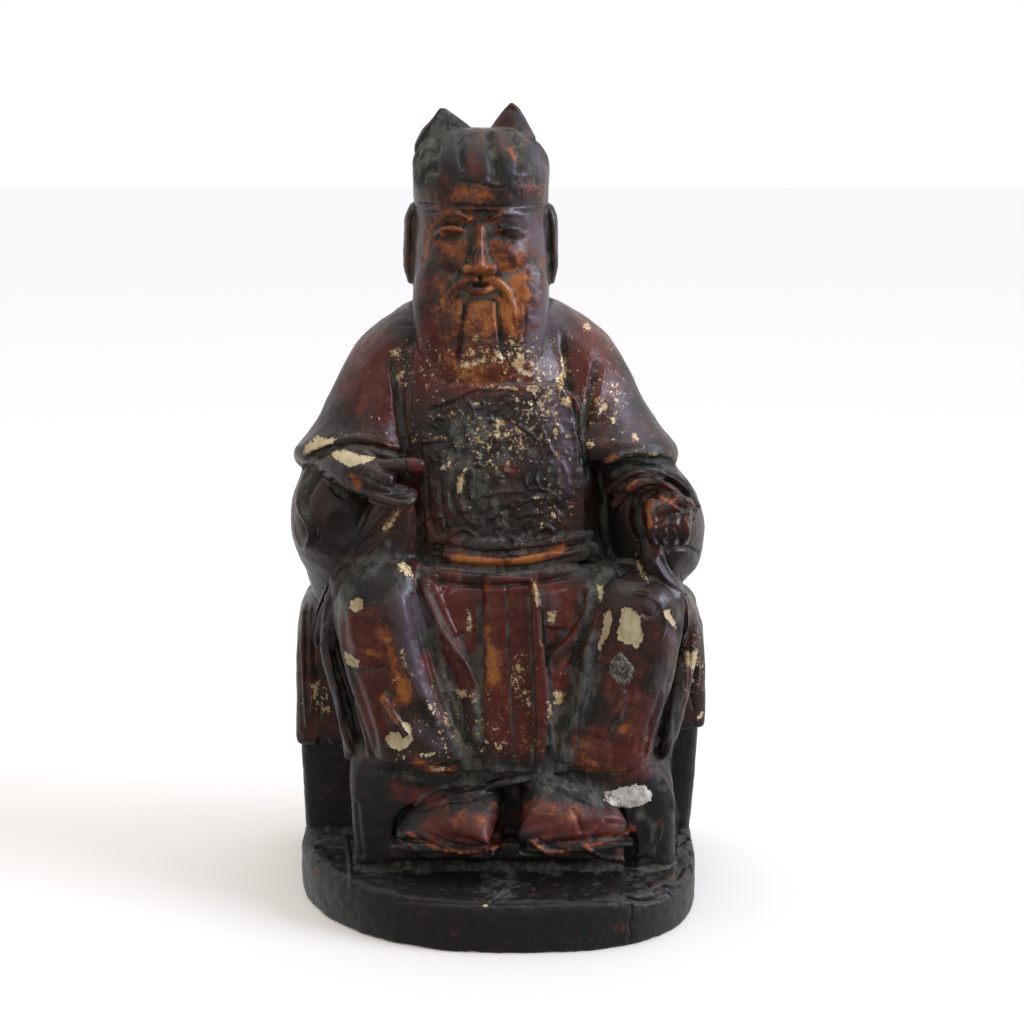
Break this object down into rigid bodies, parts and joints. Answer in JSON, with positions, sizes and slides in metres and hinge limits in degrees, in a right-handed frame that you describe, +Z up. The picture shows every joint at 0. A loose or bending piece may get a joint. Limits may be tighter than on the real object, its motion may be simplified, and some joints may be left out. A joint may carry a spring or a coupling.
{
  "type": "carved seated deity figure",
  "caption": "Carved, lacquered and gilded wooden figure of a bearded deity in robe and lobed hat, seated in an armchair on a rounded plinth.",
  "frame": {"origin": "middle of the plinth's underside", "axes": "+Z up, the figure faces -Y, +X is to the right of a viewer who faces it"},
  "size_m": [0.2126, 0.1718, 0.4],
  "materials": {
    "lacquered_wood": "worn dark red and brown lacquer over gesso, with rubbed gilding and dust"
  },
  "bodies": {
    "root": {"seated_deity_figure": "lacquered_wood"}
  },
  "joints": []
}
